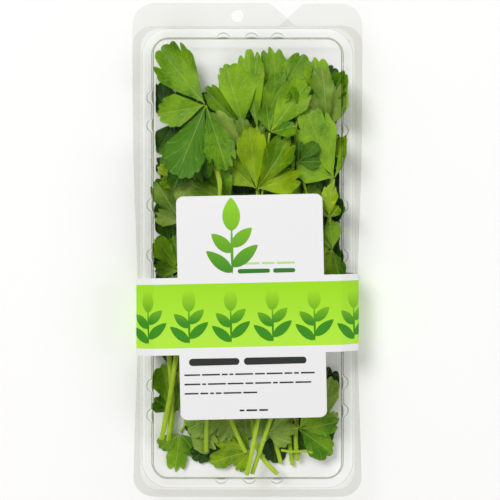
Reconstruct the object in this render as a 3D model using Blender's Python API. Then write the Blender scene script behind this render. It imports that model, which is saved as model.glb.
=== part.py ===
"""A bunch of cut flat-leaf parsley, lying in its clear hinged clamshell pack under a paper label.

Metres, +Z up. The pack lies on its back with the tray's floor at z = 0. +Y points to the end with
the two opening tabs, and the lid turns about the fold at the -Y end. The origin is under the middle
of the pack. Lengths in the tables below are in millimetres and are scaled by MM.
"""

import math

import bmesh
import bpy
import numpy as np

MM = 0.001

# ---------------------------------------------------------------- pack: driving dimensions (mm)
PACK_HALF_WIDTH = 57.5
FOLD_Y = -123.3  # the flange's edge at the fold
RIM_TOP_Y = 112.0  # the flange's edge under the tabs
TAB_TOP_Y = 123.3
WAIST_DEPTH = 2.7  # how far the taut label pulls each long edge in
WAIST_REACH = 60.0
LABEL_MID_Y = -33.0

SHEET = 0.5  # thermoformed sheet
TRAY_FLANGE_Z = 19.75  # middle of the sheet
LID_FLANGE_Z = 20.6
LID_PLATEAU_Z = 22.2
LID_FACE_Z = 25.7
FOLD_GAP = 0.3  # from each flange's edge to the fold's axis

MOUTH_Y = -4.5  # middle of the tray's mouth
MOUTH_HALF = (52.6, 114.4)
WINDOW_Y = -4.1  # middle of the lid's raised face
WINDOW_HALF = (47.3, 109.4)

HANG_HOLE = (-5.0, 117.0)
HANG_HOLE_RADIUS = 3.2
CORNER_STEPS = 4

# ---------------------------------------------------------------- label: driving dimensions (mm)
PAPER = 0.25
LABEL_Z = 26.4
LABEL_LEFT, LABEL_RIGHT = -34.8, 38.8
LABEL_BOTTOM, LABEL_TOP = -84.5, 27.2
LABEL_CORNER = 4.0
BAND_BOTTOM, BAND_TOP = -52.0, -14.0
BAND_EDGE_X = 55.5  # where the band goes round the flange
SLIT_Z = 20.15  # the band is slit here, level with the fold

# ---------------------------------------------------------------- parsley: driving dimensions (mm)
LEAF_THICKNESS = 0.5
LEAFLET_HALF_ANGLE = 31.0
CROTCH = 1.7  # radius of the blade between two leaflets
OUTLINE_STATIONS = (-1.0, -0.62, -0.32, 0.0, 0.32, 0.62, 1.0)
NOTCHED_STATIONS = (-0.32, 0.32)
STEM_RADIUS_CUT, STEM_RADIUS_NODE, PETIOLE_RADIUS = 1.4, 1.05, 0.7
STEM_STEP, PETIOLE_STEP = 13.0, 7.0
BEND_AT = 0.5  # where a blade bends, as a share of the way to its outline
LIMPNESS = 0.12  # how steeply an unsupported blade sinks
SPRING = 0.006  # how sharply a stem bends over what it rests on, in 1/mm
CLEARANCE = 0.35
LEAF_LIMIT = (48.6, 112.0)  # no leaf reaches further out than this

# Each sprig: the stem's route from its cut end to its node, then its leaves. A leaf is
# (x, y, fold, leaflets, branch): where its leaflets meet, how far each half rises from its midrib,
# (direction in degrees, length) of each leaflet, and the point of the route that its stalk leaves.
# The stem itself runs on to the first leaf.
SPRIGS = {
    "sprig_01": (
        [(-39.8, -95.5), (-38.6, -86.0), (-35.0, -62.0), (-28.8, -25.0), (-20.0, 8.0), (-17.0, 28.0)],
        [
            (-13.0, 58.0, 0.15, [(150, 26), (105, 27), (62, 26), (200, 22), (15, 20)], -1),
            (-33.0, 28.0, 0.10, [(100, 24), (150, 16), (55, 22), (215, 16), (270, 16)], -1),
            (-38.0, 6.0, 0.20, [(100, 20), (250, 18), (60, 14), (200, 10)], -2),
            (-38.0, -84.0, 0.15, [(105, 26), (140, 13), (70, 16)], 1),
        ],
    ),
    "sprig_02": (
        [(23.3, -111.0), (21.3, -93.5), (27.0, -55.0), (36.0, -15.0), (38.0, 14.0), (34.0, 32.0)],
        [
            (26.0, 62.0, 0.12, [(120, 26), (85, 28), (50, 24), (170, 22), (10, 20)], -1),
            (37.0, 38.0, 0.10, [(95, 24), (140, 20), (60, 14), (200, 20), (250, 14)], -1),
            (43.0, 8.0, 0.15, [(95, 20), (130, 14), (265, 18), (230, 12)], -2),
            (12.0, 40.0, 0.12, [(100, 24), (60, 22), (140, 24), (20, 22), (190, 22)], -2),
        ],
    ),
    "sprig_03": (
        [(15.3, -114.0), (5.8, -105.0), (1.5, -75.0), (12.0, -25.0), (21.0, 6.0), (23.0, 42.0)],
        [
            (26.0, 74.0, 0.12, [(95, 20), (65, 18), (125, 17)], -1),
            (16.2, 79.0, 0.15, [(104, 25), (82, 27), (60, 24), (130, 20)], -1),
            (38.7, 73.0, 0.12, [(112, 26), (92, 27), (72, 24)], -1),
            (28.0, 20.0, 0.15, [(60, 15), (110, 14), (15, 14)], -2),
        ],
    ),
    "sprig_04": (
        [(25.5, -108.0), (24.5, -90.0), (31.0, -50.0), (39.0, -10.0), (42.0, 20.0), (42.5, 40.0)],
        [
            (41.2, 62.0, 0.15, [(97, 32), (125, 20), (72, 22)], -1),
            (44.0, 47.0, 0.10, [(60, 12), (100, 16), (20, 7)], -1),
        ],
    ),
    "sprig_05": (
        [(17.3, -110.0), (13.8, -98.5), (9.0, -60.0), (9.0, -15.0), (6.0, 25.0), (4.0, 42.0)],
        [
            (5.2, 61.0, 0.35, [(98, 42), (64, 32), (30, 18)], -1),
            (-2.0, 62.0, 0.12, [(109, 36), (134, 28), (78, 26)], -1),
            (0.2, 49.0, 0.15, [(132, 28), (165, 22), (100, 18), (60, 16)], -1),
        ],
    ),
    "sprig_06": (
        [(-10.0, -28.0), (-12.0, -50.0), (-18.0, -72.0)],
        [
            (1.3, -103.0, 0.14, [(198, 22), (160, 20), (232, 13), (130, 12)], -1),
            (-34.8, -94.0, 0.12, [(262, 17), (305, 14), (215, 11)], -1),
            (-31.0, -88.0, 0.10, [(-8, 29), (-42, 21), (26, 22), (60, 14)], -1),
        ],
    ),
    "sprig_07": (
        [(8.0, -36.0), (13.0, -55.0), (20.0, -74.0)],
        [
            (37.0, -91.0, 0.25, [(78, 27), (110, 20), (45, 12)], -1),
            (26.0, -91.0, 0.12, [(10, 21), (-36, 22), (50, 18)], -1),
            (10.0, -94.0, 0.12, [(14, 16), (44, 15), (-20, 13), (75, 13)], -1),
        ],
    ),
    "sprig_08": (
        [(-0.8, -103.0), (-9.3, -85.0), (-20.0, -50.0), (-25.0, -28.0), (-26.0, -14.0)],
        [
            (-33.7, 14.0, 0.35, [(122, 25), (92, 24), (160, 14)], -1),
            (-34.7, -11.0, 0.15, [(125, 21), (168, 13), (92, 20), (250, 14)], -1),
            (-33.0, 38.0, 0.12, [(160, 14), (118, 15), (200, 12)], -1),
        ],
    ),
    "sprig_09": (
        [(2.3, -113.5), (11.8, -85.0), (24.0, -45.0), (35.0, -16.0), (39.5, 2.0)],
        [
            (43.7, 36.0, 0.30, [(120, 37), (88, 35), (157, 21)], -1),
            (43.0, 0.0, 0.12, [(285, 16), (250, 15), (95, 15), (130, 12)], -1),
            (41.0, 16.0, 0.20, [(86, 17), (128, 13), (50, 8)], -1),
            (25.7, 44.5, 0.15, [(45, 14), (88, 11), (2, 11)], -1),
        ],
    ),
    "sprig_10": (
        [(-0.3, -113.5), (5.3, -85.0), (12.0, -45.0), (12.0, -10.0), (7.0, 12.0)],
        [
            (4.7, 31.0, 0.25, [(138, 29), (97, 31), (56, 31), (20, 23)], -1),
            (-8.0, 24.5, 0.12, [(157, 23), (122, 19), (196, 17)], -1),
            (11.2, 59.5, 0.12, [(53, 32), (98, 14), (14, 14)], -1),
        ],
    ),
    "sprig_11": (
        [(-21.3, -103.5), (-20.8, -85.0), (-17.8, -25.0), (-14.8, 20.0), (-14.5, 40.0)],
        [
            (-27.7, 53.5, 0.10, [(246, 24), (285, 20), (208, 19)], -1),
            (-21.2, 73.5, 0.12, [(125, 38), (190, 26), (232, 27), (272, 34), (305, 30)], -1),
        ],
    ),
}


# ---------------------------------------------------------------- helpers
def material(name, colour, roughness, alpha=1.0):
    made = bpy.data.materials.new(name)
    made.use_nodes = True
    shader = made.node_tree.nodes["Principled BSDF"]
    shader.inputs["Base Color"].default_value = (*colour, 1.0)
    shader.inputs["Roughness"].default_value = roughness
    shader.inputs["Metallic"].default_value = 0.0
    shader.inputs["Alpha"].default_value = alpha
    return made


def add_object(name, mesh, finish):
    obj = bpy.data.objects.new(name, mesh)
    mesh.materials.clear()
    mesh.materials.append(finish)
    bpy.context.scene.collection.objects.link(obj)
    return obj


def solidify(obj, thickness):
    sheet = obj.modifiers.new("sheet", "SOLIDIFY")
    sheet.thickness = thickness * MM
    sheet.offset = 0.0
    sheet.use_even_offset = True
    sheet.use_quality_normals = True


def edge_loop(bm, points, z):
    """A closed loop of edges through these (x, y) points, in millimetres."""
    verts = [bm.verts.new((x * MM, y * MM, z * MM)) for x, y in points]
    return [bm.edges.new((a, b)) for a, b in zip(verts, verts[1:] + verts[:1])]


def arc(centre, radius, start, end, steps):
    angles = [math.radians(start + (end - start) * i / steps) for i in range(steps + 1)]
    return [(centre[0] + radius * math.cos(a), centre[1] + radius * math.sin(a)) for a in angles]


def rounded_rectangle(half, mid_y, radius):
    """Counter-clockwise from the right end of the -Y side."""
    x, y = half[0] - radius, half[1] - radius
    corners = [((x, mid_y - y), -90), ((x, mid_y + y), 0), ((-x, mid_y + y), 90), ((-x, mid_y - y), 180)]
    return [p for centre, start in corners for p in arc(centre, radius, start, start + 90, CORNER_STEPS)]


# ---------------------------------------------------------------- tray and lid
def half_width(y):
    """The flange's edge: straight, but drawn in at the waist under the label."""
    return PACK_HALF_WIDTH - WAIST_DEPTH * math.exp(-(((y - LABEL_MID_Y) / WAIST_REACH) ** 2))


def long_edge(side, y_from, y_to, steps=8):
    ys = [y_from + (y_to - y_from) * i / steps for i in range(steps + 1)]
    return [(side * half_width(y), y) for y in ys]


def flange_outline(tab_left, tab_right):
    """The flange with its opening tab, whose top runs from x = tab_left to tab_right. A tab reaches
    one corner of the pack, and its other end slopes down to the plain edge."""
    fold_radius, plain_radius, tab_radius, slope = 10.0, 9.5, 11.0, 12.5
    edge = half_width(FOLD_Y + fold_radius) - fold_radius
    outline = arc((edge, FOLD_Y + fold_radius), fold_radius, -90, 0, CORNER_STEPS)
    tab_on_right = tab_right > -tab_left
    right_radius = tab_radius if tab_on_right else plain_radius
    left_radius = plain_radius if tab_on_right else tab_radius
    right_top = TAB_TOP_Y if tab_on_right else RIM_TOP_Y
    left_top = RIM_TOP_Y if tab_on_right else TAB_TOP_Y
    outline += long_edge(1, FOLD_Y + fold_radius, right_top - right_radius)[1:]
    right_edge = half_width(right_top - right_radius)
    outline += arc((right_edge - right_radius, right_top - right_radius), right_radius, 0, 90, CORNER_STEPS)[1:]
    if tab_on_right:
        outline += [(tab_left, TAB_TOP_Y), (tab_left - slope, RIM_TOP_Y)]
    else:
        outline += [(tab_right + slope, RIM_TOP_Y), (tab_right, TAB_TOP_Y)]
    left_edge = half_width(left_top - left_radius)
    outline += arc((left_radius - left_edge, left_top - left_radius), left_radius, 90, 180, CORNER_STEPS)
    outline += long_edge(-1, left_top - left_radius, FOLD_Y + fold_radius)[1:]
    outline += arc((-edge, FOLD_Y + fold_radius), fold_radius, 180, 270, CORNER_STEPS)[1:]
    return outline


def shell(name, outline, flange_z, sections, hole, finish):
    """A thermoformed half: the flat flange, then one loop for each (half size, middle, radius, z)."""
    bm = bmesh.new()
    half, mid, radius, _ = sections[0]
    loop = edge_loop(bm, rounded_rectangle(half, mid, radius), flange_z)
    border = edge_loop(bm, outline, flange_z)
    if hole:
        border += edge_loop(bm, arc(hole, HANG_HOLE_RADIUS, 0, 330, 11), flange_z)
    bmesh.ops.triangle_fill(bm, edges=loop + border, use_beauty=True)
    ring = [edge.verts[0] for edge in loop]
    for half, mid, radius, z in sections[1:]:
        loop = edge_loop(bm, rounded_rectangle(half, mid, radius), z)
        inner = [edge.verts[0] for edge in loop]
        for i in range(len(ring)):
            bm.faces.new((ring[i - 1], ring[i], inner[i], inner[i - 1]))
        ring = inner
    bmesh.ops.contextual_create(bm, geom=loop)
    bmesh.ops.recalc_face_normals(bm, faces=bm.faces)
    mesh = bpy.data.meshes.new(name)
    bm.to_mesh(mesh)
    bm.free()
    solidify(add_object(name, mesh, finish), SHEET)


def grown(half, by):
    return (half[0] + by, half[1] + by)


def build_pack(clear):
    shell(
        "tray",
        flange_outline(28.0, 45.0),
        TRAY_FLANGE_Z,
        [
            (MOUTH_HALF, MOUTH_Y, 8.5, TRAY_FLANGE_Z),
            (grown(MOUTH_HALF, -0.8), MOUTH_Y, 8.2, TRAY_FLANGE_Z - 0.9),
            (grown(MOUTH_HALF, -4.4), MOUTH_Y, 7.5, 1.6),
            (grown(MOUTH_HALF, -5.6), MOUTH_Y, 7.0, SHEET / 2),
        ],
        None,
        clear,
    )
    shell(
        "lid",
        flange_outline(-45.0, 11.5),
        LID_FLANGE_Z,
        [
            (grown(MOUTH_HALF, 0.5), MOUTH_Y, 9.0, LID_FLANGE_Z),
            (grown(MOUTH_HALF, 0.1), MOUTH_Y, 8.6, LID_PLATEAU_Z),
            (grown(WINDOW_HALF, 0.6), WINDOW_Y, 8.0, LID_PLATEAU_Z),
            (grown(WINDOW_HALF, -0.5), WINDOW_Y, 7.6, LID_FACE_Z - 0.7),
            (grown(WINDOW_HALF, -1.4), WINDOW_Y, 7.2, LID_FACE_Z),
        ],
        HANG_HOLE,
        clear,
    )


# ---------------------------------------------------------------- label
def strip(bm, section, y_low, y_high):
    """Paper bent along a section of (x, z) points, between two y values."""
    rows = [[bm.verts.new((x * MM, y * MM, z * MM)) for x, z in section] for y in (y_low, y_high)]
    edges = [[bm.edges.new(pair) for pair in zip(row, row[1:])] for row in rows]
    bmesh.ops.bridge_loops(bm, edges=edges[0] + edges[1])


def build_label(paper):
    """A cross: a panel on the lid's face and a band whose ends go round the flange. The band is
    slit level with the fold, as when the pack is opened, so its tails stay on the tray."""
    bm = bmesh.new()
    r = LABEL_CORNER
    left, right = LABEL_LEFT, LABEL_RIGHT
    top = arc((right - r, LABEL_TOP - r), r, 0, 90, 3) + arc((left + r, LABEL_TOP - r), r, 90, 180, 3)
    bottom = arc((left + r, LABEL_BOTTOM + r), r, 180, 270, 3) + arc((right - r, LABEL_BOTTOM + r), r, 270, 360, 3)
    for outline in (
        [(right, BAND_TOP)] + top + [(left, BAND_TOP)],
        [(left, BAND_BOTTOM)] + bottom + [(right, BAND_BOTTOM)],
        [(left, BAND_BOTTOM), (right, BAND_BOTTOM), (right, BAND_TOP), (left, BAND_TOP)],
    ):
        bmesh.ops.contextual_create(bm, geom=edge_loop(bm, outline, LABEL_Z))
    face_edge = WINDOW_HALF[0] - 1.0
    for side, panel_edge in ((-1, left), (1, right)):
        section = [
            (panel_edge, LABEL_Z),
            (side * face_edge, LABEL_Z),
            (side * (BAND_EDGE_X - 0.8), LID_FLANGE_Z + 1.0),
            (side * BAND_EDGE_X, LID_FLANGE_Z + 0.4),
            (side * BAND_EDGE_X, SLIT_Z + 0.2),
        ]
        strip(bm, section, BAND_BOTTOM, BAND_TOP)
    bmesh.ops.remove_doubles(bm, verts=bm.verts, dist=0.01 * MM)
    bmesh.ops.recalc_face_normals(bm, faces=bm.faces)
    mesh = bpy.data.meshes.new("label")
    bm.to_mesh(mesh)
    bm.free()
    solidify(add_object("label", mesh, paper), PAPER)

    for side, name in ((-1, "label_tail_left"), (1, "label_tail_right")):
        bm = bmesh.new()
        section = [
            (side * BAND_EDGE_X, SLIT_Z - 0.2),
            (side * BAND_EDGE_X, TRAY_FLANGE_Z - 0.5),
            (side * (MOUTH_HALF[0] - 3.3), 2.4),
        ]
        strip(bm, section, BAND_BOTTOM, BAND_TOP)
        mesh = bpy.data.meshes.new(name)
        bm.to_mesh(mesh)
        bm.free()
        solidify(add_object(name, mesh, paper), PAPER)


# ---------------------------------------------------------------- pile
class Pile:
    """The top of everything laid in the tray so far, on a 1 mm grid, in millimetres."""

    def __init__(self):
        self.x0, self.y0 = -60, -125
        xs = np.arange(self.x0, 61) + 0.5
        ys = np.arange(self.y0, 126) + 0.5
        out_x = np.abs(xs)[:, None] - (MOUTH_HALF[0] - 6.6)
        out_y = np.abs(ys - MOUTH_Y)[None, :] - (MOUTH_HALF[1] - 6.6)
        out = np.maximum(out_x, out_y).clip(0, None)
        self.top = np.where(out > 6.2, 40.0, SHEET + out * (TRAY_FLANGE_Z / 5.2))

    def cells(self, points):
        ix = np.floor(points[:, 0]).astype(int) - self.x0
        iy = np.floor(points[:, 1]).astype(int) - self.y0
        return ix.clip(1, self.top.shape[0] - 2), iy.clip(1, self.top.shape[1] - 2)

    def under(self, points):
        """The highest top within a cell of each (x, y) point."""
        ix, iy = self.cells(points)
        return np.max([self.top[ix + i, iy + j] for i in (-1, 0, 1) for j in (-1, 0, 1)], axis=0)

    def add(self, points):
        """Covers the cells under these (x, y, z) points."""
        ix, iy = self.cells(points)
        np.maximum.at(self.top, (ix, iy), points[:, 2])


# ---------------------------------------------------------------- leaves
def leaflet_reach(t):
    """How far the blade reaches at t, from -1 at one side to 1 at the other, as a share of its length."""
    reach = 1.0 - 0.10 * t**2 - 0.32 * t**4
    return reach * (0.84 if t in NOTCHED_STATIONS else 1.0)


def leaf_outline(leaflets, fold):
    """(x, y, rise) round the blade from where its leaflets meet, in millimetres."""
    ordered = sorted((d % 360, length) for d, length in leaflets)
    points = []
    for i, (direction, length) in enumerate(ordered):
        before = (direction - ordered[i - 1][0]) % 360
        after = (ordered[(i + 1) % len(ordered)][0] - direction) % 360
        low = min(LEAFLET_HALF_ANGLE, before / 2 - 2)
        high = min(LEAFLET_HALF_ANGLE, after / 2 - 2)
        for t in OUTLINE_STATIONS:
            turn = t * (low if t < 0 else high)
            r = length * leaflet_reach(t)
            a = math.radians(direction + turn)
            points.append((r * math.cos(a), r * math.sin(a), r * fold * math.sin(math.radians(abs(turn)))))
        gap = after - high - min(LEAFLET_HALF_ANGLE, after / 2 - 2)
        crotches = math.ceil(gap / 100)
        for k in range(crotches):
            a = math.radians(direction + high + gap * (k + 0.5) / crotches)
            points.append((CROTCH * math.cos(a), CROTCH * math.sin(a), 0.0))
    return np.array(points)


def fan(outline):
    """The blade as triangles: its middle is point 0, then come the inner ring and the outline."""
    count = len(outline)
    points = np.vstack([[(0, 0, 0)], outline * (BEND_AT, BEND_AT, BEND_AT), outline])
    triangles = []
    for i in range(count):
        j = (i + 1) % count
        inner, inner_next, outer, outer_next = 1 + i, 1 + j, 1 + count + i, 1 + count + j
        triangles += [(0, inner, inner_next), (inner, outer, outer_next), (inner, outer_next, inner_next)]
    return points, np.array(triangles)


def fan_samples(points, triangles):
    """Points about 0.8 mm apart on every triangle: the triangle of each, and its share of the corners."""
    which, shares = [], []
    for k, (a, b, c) in enumerate(points[triangles][:, :, :2]):
        steps = max(2, math.ceil(max(np.linalg.norm(a - b), np.linalg.norm(b - c), np.linalg.norm(c - a)) / 0.8))
        for i in range(steps + 1):
            for j in range(steps + 1 - i):
                which.append(k)
                shares.append((i / steps, j / steps, 1 - (i + j) / steps))
    return np.array(which), np.array(shares)


def drape_leaf(pile, x, y, outline):
    """The blade's points, low over the pile: each starts on what is under it, and is lifted until
    every part of the blade clears the pile."""
    room = LEAF_LIMIT - np.sign(outline[:, :2]) * (x, y)
    outline = outline * (room / np.abs(outline[:, :2]).clip(1e-6)).min(axis=1).clip(0, 1)[:, None]
    points, triangles = fan(outline)
    which, shares = fan_samples(points, triangles)
    corners = triangles[which]
    place = points[:, :2] + (x, y)
    sampled = (place[corners] * shares[:, :, None]).sum(axis=1)
    need = pile.under(sampled) + LEAF_THICKNESS / 2 + CLEARANCE
    height = pile.under(place) + LEAF_THICKNESS / 2 + CLEARANCE
    height = np.maximum(height, height[0] - LIMPNESS * np.linalg.norm(points[:, :2], axis=1))
    for _ in range(60):
        lack = need - (height[corners] * shares).sum(axis=1)
        if lack.max() < 0.005:
            break
        lift = lack[:, None] * shares / (shares**2).sum(axis=1)[:, None]
        raised = np.zeros(len(points))
        np.maximum.at(raised, corners, lift)
        height += 0.8 * raised
    height += max(lack.max(), 0)
    beyond = np.abs(place - (0, WINDOW_Y)) > np.array(WINDOW_HALF) - 1.5
    ceiling = np.where(beyond.any(axis=1), LID_PLATEAU_Z - 0.9, LID_FACE_Z - 0.8)
    height += np.minimum(points[:, 2], (ceiling - height).clip(0, None))
    blade = np.column_stack([place, height])
    top = (blade[corners] * shares[:, :, None]).sum(axis=1) + (0, 0, LEAF_THICKNESS / 2)
    return blade, triangles, top


def build_leaf(name, blade, triangles, finish):
    bm = bmesh.new()
    verts = [bm.verts.new((x * MM, y * MM, (z - LEAF_THICKNESS / 2) * MM)) for x, y, z in blade]
    for a, b, c in triangles:
        bm.faces.new((verts[c], verts[b], verts[a]))
    raised = bmesh.ops.extrude_face_region(bm, geom=bm.faces[:])
    upper = [v for v in raised["geom"] if isinstance(v, bmesh.types.BMVert)]
    bmesh.ops.translate(bm, verts=upper, vec=(0, 0, LEAF_THICKNESS * MM))
    bmesh.ops.recalc_face_normals(bm, faces=bm.faces)
    bmesh.ops.triangulate(bm, faces=bm.faces)
    mesh = bpy.data.meshes.new(name)
    bm.to_mesh(mesh)
    bm.free()
    add_object(name, mesh, finish)


# ---------------------------------------------------------------- stems
def smooth_route(points, step):
    """A Catmull-Rom curve through the points, read about every step millimetres."""
    p = np.array(points, float)
    p = np.vstack([2 * p[0] - p[1], p, 2 * p[-1] - p[-2]])
    curve = []
    for i in range(1, len(p) - 2):
        t = np.linspace(0, 1, 20, endpoint=False)[:, None]
        a, b, c, d = p[i - 1 : i + 3]
        curve.append(0.5 * (2 * b + (c - a) * t + (2 * a - 5 * b + 4 * c - d) * t**2 + (3 * b - a - 3 * c + d) * t**3))
    curve = np.vstack([*curve, p[-2:-1]])
    along = np.concatenate([[0], np.cumsum(np.linalg.norm(np.diff(curve, axis=0), axis=1))])
    stations = np.linspace(0, along[-1], max(3, round(along[-1] / step) + 1))
    return np.column_stack([np.interp(stations, along, curve[:, k]) for k in (0, 1)])


def drape(pile, route, radius, start_z):
    """Heights for a springy stem on the pile: over each thing that it rests on it bends down to
    both sides, as steeply as SPRING lets it."""
    parts = 6
    share = np.linspace(0, len(route) - 1, (len(route) - 1) * parts + 1)
    index = np.arange(len(route))
    fine = np.column_stack([np.interp(share, index, route[:, k]) for k in (0, 1)])
    along = np.concatenate([[0], np.cumsum(np.linalg.norm(np.diff(fine, axis=0), axis=1))])
    floor = pile.under(fine) + radius + CLEARANCE
    if start_z is not None:
        near = along < 4.0
        floor[near] = np.minimum(floor[near], start_z)
        floor[0] = start_z
    z = (floor - SPRING * (along[:, None] - along[None, :]) ** 2).max(axis=1)[::parts]
    for _ in range(60):
        lack = floor - np.interp(share, index, z)
        worst = int(lack.argmax())
        if lack[worst] < 0.01:
            break
        low = min(worst // parts, len(route) - 2)
        t = share[worst] - low
        z[low] += lack[worst] * (1 - t) / (t * t + (1 - t) ** 2)
        z[low + 1] += lack[worst] * t / (t * t + (1 - t) ** 2)
    return z


def stem_samples(path, radii):
    """Points on the stem's upper side, for the pile."""
    samples = []
    for a, b, r in zip(path, path[1:], radii):
        steps = max(2, math.ceil(np.linalg.norm(b - a) / 0.7))
        along = np.linspace(0, 1, steps + 1)[:, None]
        line = a * (1 - along) + b * along
        side = np.array([a[1] - b[1], b[0] - a[0], 0.0])
        side *= r / max(np.linalg.norm(side), 1e-6)
        samples += [line + k * side + (0, 0, r) for k in (-1, 0, 1)]
    return np.concatenate(samples)


def tube_mesh(name, path, radii):
    """A six-sided tube with closed ends, from a bevelled curve."""
    curve = bpy.data.curves.new(name, "CURVE")
    curve.dimensions = "3D"
    curve.bevel_mode = "ROUND"
    curve.bevel_depth = MM
    curve.bevel_resolution = 1
    curve.use_fill_caps = True
    spline = curve.splines.new("POLY")
    spline.points.add(len(path) - 1)
    for point, (x, y, z), r in zip(spline.points, path, radii):
        point.co = (x * MM, y * MM, z * MM, 1)
        point.radius = r
    holder = bpy.data.objects.new(name, curve)
    mesh = bpy.data.meshes.new_from_object(holder)
    bpy.data.objects.remove(holder)
    bm = bmesh.new()
    bm.from_mesh(mesh)
    bmesh.ops.remove_doubles(bm, verts=bm.verts, dist=0.005 * MM)
    bmesh.ops.recalc_face_normals(bm, faces=bm.faces)
    bm.to_mesh(mesh)
    bm.free()
    return mesh


def build_stem(name, tubes, finish):
    """The main tube with each leaf's stalk joined to it."""
    stem = add_object(name, tube_mesh(name, *tubes[0]), finish)
    for i, (path, radii) in enumerate(tubes[1:]):
        stalk = add_object(f"{name}_stalk_{i}", tube_mesh(f"{name}_stalk_{i}", path, radii), finish)
        stalk.hide_render = True
        stalk.display_type = "WIRE"
        join = stem.modifiers.new(f"stalk_{i}", "BOOLEAN")
        join.operation = "UNION"
        join.solver = "EXACT"
        join.object = stalk


def lay_sprig(pile, name, route, leaves, leaf_finish, stem_finish):
    main = smooth_route(route + [leaves[0][:2]], STEM_STEP)
    last = len(main) - 1
    radii = np.interp(np.arange(last + 1), [0, last - 2, last], [STEM_RADIUS_CUT, STEM_RADIUS_NODE, PETIOLE_RADIUS])
    z = drape(pile, main, STEM_RADIUS_CUT, None)
    tubes = [(np.column_stack([main, z]), radii)]
    for leaf in leaves[1:]:
        nearest = int(np.argmin(np.linalg.norm(main[1:-1] - route[leaf[4]], axis=1))) + 1
        path = smooth_route([tuple(main[nearest]), tuple((main[nearest] + leaf[:2]) / 2), leaf[:2]], PETIOLE_STEP)
        heights = drape(pile, path, PETIOLE_RADIUS, z[nearest])
        tubes.append((np.column_stack([path, heights]), np.full(len(path), PETIOLE_RADIUS)))
    for path, tube_radii in tubes:
        pile.add(stem_samples(path, tube_radii))
    build_stem(f"{name}_stem", tubes, stem_finish)

    for letter, (x, y, fold, leaflets, _) in zip("abcdef", leaves):
        blade, triangles, top = drape_leaf(pile, x, y, leaf_outline(leaflets, fold))
        pile.add(top)
        build_leaf(f"{name}_leaf_{letter}", blade, triangles, leaf_finish)


def main():
    for obj in list(bpy.data.objects):
        bpy.data.objects.remove(obj)
    clear = material("clear_pet", (0.90, 0.91, 0.90), 0.08, 0.35)
    paper = material("label_paper", (0.86, 0.85, 0.87), 0.35)
    leaf = material("parsley_leaf", (0.13, 0.28, 0.03), 0.45)
    stem = material("parsley_stem", (0.40, 0.60, 0.07), 0.40)
    build_pack(clear)
    build_label(paper)
    pile = Pile()
    for name, (route, leaves) in SPRIGS.items():
        lay_sprig(pile, name, route, leaves, leaf, stem)


main()
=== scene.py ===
"""A bunch of cut flat-leaf parsley in its clear hinged clamshell pack, under a cross-shaped paper label.

The pack lies on its back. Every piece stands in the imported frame, in metres. Tables and helpers
work in millimetres and are scaled by MM.
"""

import math

import bmesh
import bpy
import numpy as np
from mathutils import Matrix, Vector, noise
from mathutils.bvhtree import BVHTree


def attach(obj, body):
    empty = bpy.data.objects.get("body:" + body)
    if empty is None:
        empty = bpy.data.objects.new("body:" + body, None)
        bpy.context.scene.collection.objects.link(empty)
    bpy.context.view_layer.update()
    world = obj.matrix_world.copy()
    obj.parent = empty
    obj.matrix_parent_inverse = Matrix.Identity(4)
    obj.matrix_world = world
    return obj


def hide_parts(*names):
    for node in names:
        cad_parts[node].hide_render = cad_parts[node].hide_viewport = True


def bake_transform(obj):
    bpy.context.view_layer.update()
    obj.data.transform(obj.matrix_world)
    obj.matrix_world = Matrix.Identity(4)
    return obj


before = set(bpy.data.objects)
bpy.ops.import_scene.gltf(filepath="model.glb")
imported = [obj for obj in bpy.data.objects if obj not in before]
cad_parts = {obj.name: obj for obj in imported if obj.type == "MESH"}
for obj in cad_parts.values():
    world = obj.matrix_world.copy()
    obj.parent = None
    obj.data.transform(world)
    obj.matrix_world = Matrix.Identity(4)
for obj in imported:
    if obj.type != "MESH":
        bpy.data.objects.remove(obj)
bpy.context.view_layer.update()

# ------------------------------------------------------------------------------------------- Tray
# The lower half of the pack: clear PET sheet about 0.4 mm thick, vacuum-formed over a mould into a
# deep tray with drafted walls and a flat flange. Its tab, at the right of the hang end, is what a
# finger holds while the lid is pulled open.

MM = 0.001
SHEET_MM = 0.4  # the PET sheet's thickness
FACE_ON_SHINE = 0.004  # the share of light that the sheet's surface throws back face on
GRAZING_SHINE = 0.2  # and how much more along the sheet
GRAZING_POWER = 5.0
CORNER_STEPS = 10  # stations round each corner of a formed wall
EDGE_STEPS = 60  # steps along each long edge of a flange
EASE = 0.8  # how far from a tab's corner its easing starts


def colour(hex_code):
    """An sRGB hex colour as the linear colour that a shader takes."""
    parts = [int(hex_code[i : i + 2], 16) / 255 for i in (1, 3, 5)]
    return (*[p / 12.92 if p <= 0.04045 else ((p + 0.055) / 1.055) ** 2.4 for p in parts], 1.0)


def add(tree, kind, inputs=None, links=None, **settings):
    """A node with its settings, its input values, and links from other nodes' outputs."""
    node = tree.nodes.new(kind)
    for name, value in settings.items():
        setattr(node, name, value)
    for socket, value in (inputs or {}).items():
        node.inputs[socket].default_value = value
    for socket, source in (links or {}).items():
        tree.links.new(source, node.inputs[socket])
    return node


def new_material(name):
    """An empty node material: its tree and its output node."""
    made = bpy.data.materials.new(name)
    made.use_nodes = True
    made.node_tree.nodes.clear()
    return made, made.node_tree, made.node_tree.nodes.new("ShaderNodeOutputMaterial")


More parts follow.
